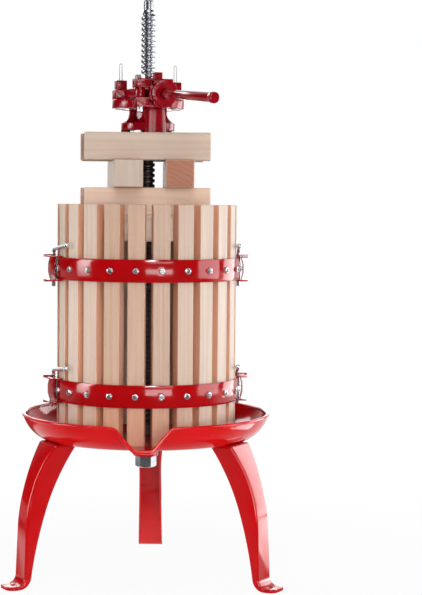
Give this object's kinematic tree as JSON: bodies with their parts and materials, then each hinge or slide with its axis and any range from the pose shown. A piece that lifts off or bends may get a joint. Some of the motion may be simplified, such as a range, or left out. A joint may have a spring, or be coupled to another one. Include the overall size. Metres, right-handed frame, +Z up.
{
  "type": "wine press",
  "caption": "Hand-screw basket press with a slatted hooped basket, spouted basin on splayed channel legs, pressing timbers and a ratchet head turned by a lever.",
  "frame": {"origin": "on the floor, on the screw's axis, at the centre of the three foot holes", "axes": "+Z up along the screw, -Y towards the spout and the picture's viewer, +X to the viewer's right"},
  "size_m": [0.4159, 0.5, 0.872],
  "materials": {
    "red_enamel": "gloss enamel on pressed steel",
    "red_cast": "gloss enamel on rough casting",
    "beech": "planed, unvarnished",
    "zinc": "bright zinc plate",
    "screw_steel": "turned steel"
  },
  "bodies": {
    "stand": {"basin": "red_enamel", "leg_left": "red_enamel", "leg_right": "red_enamel", "leg_rear": "red_enamel", "leg_fasteners": "zinc", "screw_seat": "red_enamel", "screw": "screw_steel", "screw_nuts": "zinc"},
    "basket": {"stave_01": "beech", "stave_02": "beech", "stave_03": "beech", "stave_04": "beech", "stave_05": "beech", "stave_06": "beech", "stave_07": "beech", "stave_08": "beech", "stave_09": "beech", "stave_10": "beech", "stave_11": "beech", "stave_12": "beech", "stave_13": "beech", "stave_14": "beech", "stave_15": "beech", "stave_16": "beech", "stave_17": "beech", "stave_18": "beech", "stave_19": "beech", "stave_20": "beech", "stave_21": "beech", "stave_22": "beech", "front_lower_hoop": "red_enamel", "front_upper_hoop": "red_enamel", "rear_lower_hoop": "red_enamel", "rear_upper_hoop": "red_enamel", "front_hinge_brackets": "red_enamel", "rear_hinge_brackets": "red_enamel", "front_stave_bolts": "zinc", "rear_stave_bolts": "zinc"},
    "press_stack": {"press_plate_left": "beech", "press_plate_right": "beech", "board_front": "beech", "board_rear": "beech", "spacer_left": "beech", "spacer_right": "beech", "beam_front": "beech", "beam_rear": "beech", "thrust_bell": "red_cast"},
    "ratchet": {"ratchet_nut": "red_cast"},
    "carrier": {"pawl_carrier": "red_cast", "lever_socket": "red_cast", "socket_fasteners": "zinc"},
    "left_pawl": {"pawl_left": "red_cast", "pawl_left_wire": "zinc"},
    "right_pawl": {"pawl_right": "red_cast", "pawl_right_wire": "zinc"},
    "lever": {"lever_bar": "red_cast"},
    "left_lower_pin_body": {"left_lower_pin": "zinc"},
    "left_upper_pin_body": {"left_upper_pin": "zinc"},
    "right_lower_pin_body": {"right_lower_pin": "zinc"},
    "right_upper_pin_body": {"right_upper_pin": "zinc"}
  },
  "joints": [
    {"name": "press_travel", "type": "slide", "parent": "stand", "child": "press_stack", "axis": [0, 0, 1], "range_m": [-0.1, 0.09]},
    {"name": "nut_turn", "type": "hinge", "parent": "press_stack", "child": "ratchet", "pos_m": [0, 0, 0.672], "axis": [0, 0, 1], "range_deg": [-4600, 4150]},
    {"name": "lever_swing", "type": "hinge", "parent": "ratchet", "child": "carrier", "pos_m": [0, 0, 0.672], "axis": [0, 0, 1], "continuous": true},
    {"name": "left_pawl_drop", "type": "slide", "parent": "carrier", "child": "left_pawl", "axis": [0, 0, 1], "range_m": [-0.009, 0.006]},
    {"name": "right_pawl_drop", "type": "slide", "parent": "carrier", "child": "right_pawl", "axis": [0, 0, 1], "range_m": [-0.009, 0.006]},
    {"name": "lever_pull", "type": "slide", "parent": "carrier", "child": "lever", "axis": [0.3407, -0.9361, -0.0872], "range_m": [0, 0.12]},
    {"name": "basket_lift", "type": "slide", "parent": "stand", "child": "basket", "axis": [0, 0, 1], "range_m": [0, 0.045]},
    {"name": "left_lower_pin_pull", "type": "slide", "parent": "basket", "child": "left_lower_pin_body", "axis": [0, 0, 1], "range_m": [0, 0.055]},
    {"name": "left_upper_pin_pull", "type": "slide", "parent": "basket", "child": "left_upper_pin_body", "axis": [0, 0, 1], "range_m": [0, 0.055]},
    {"name": "right_lower_pin_pull", "type": "slide", "parent": "basket", "child": "right_lower_pin_body", "axis": [0, 0, 1], "range_m": [0, 0.055]},
    {"name": "right_upper_pin_pull", "type": "slide", "parent": "basket", "child": "right_upper_pin_body", "axis": [0, 0, 1], "range_m": [0, 0.055]}
  ],
  "couplings": [
    {"joint": "nut_turn", "follows": "press_travel", "rad_per_m": 785.4}
  ]
}
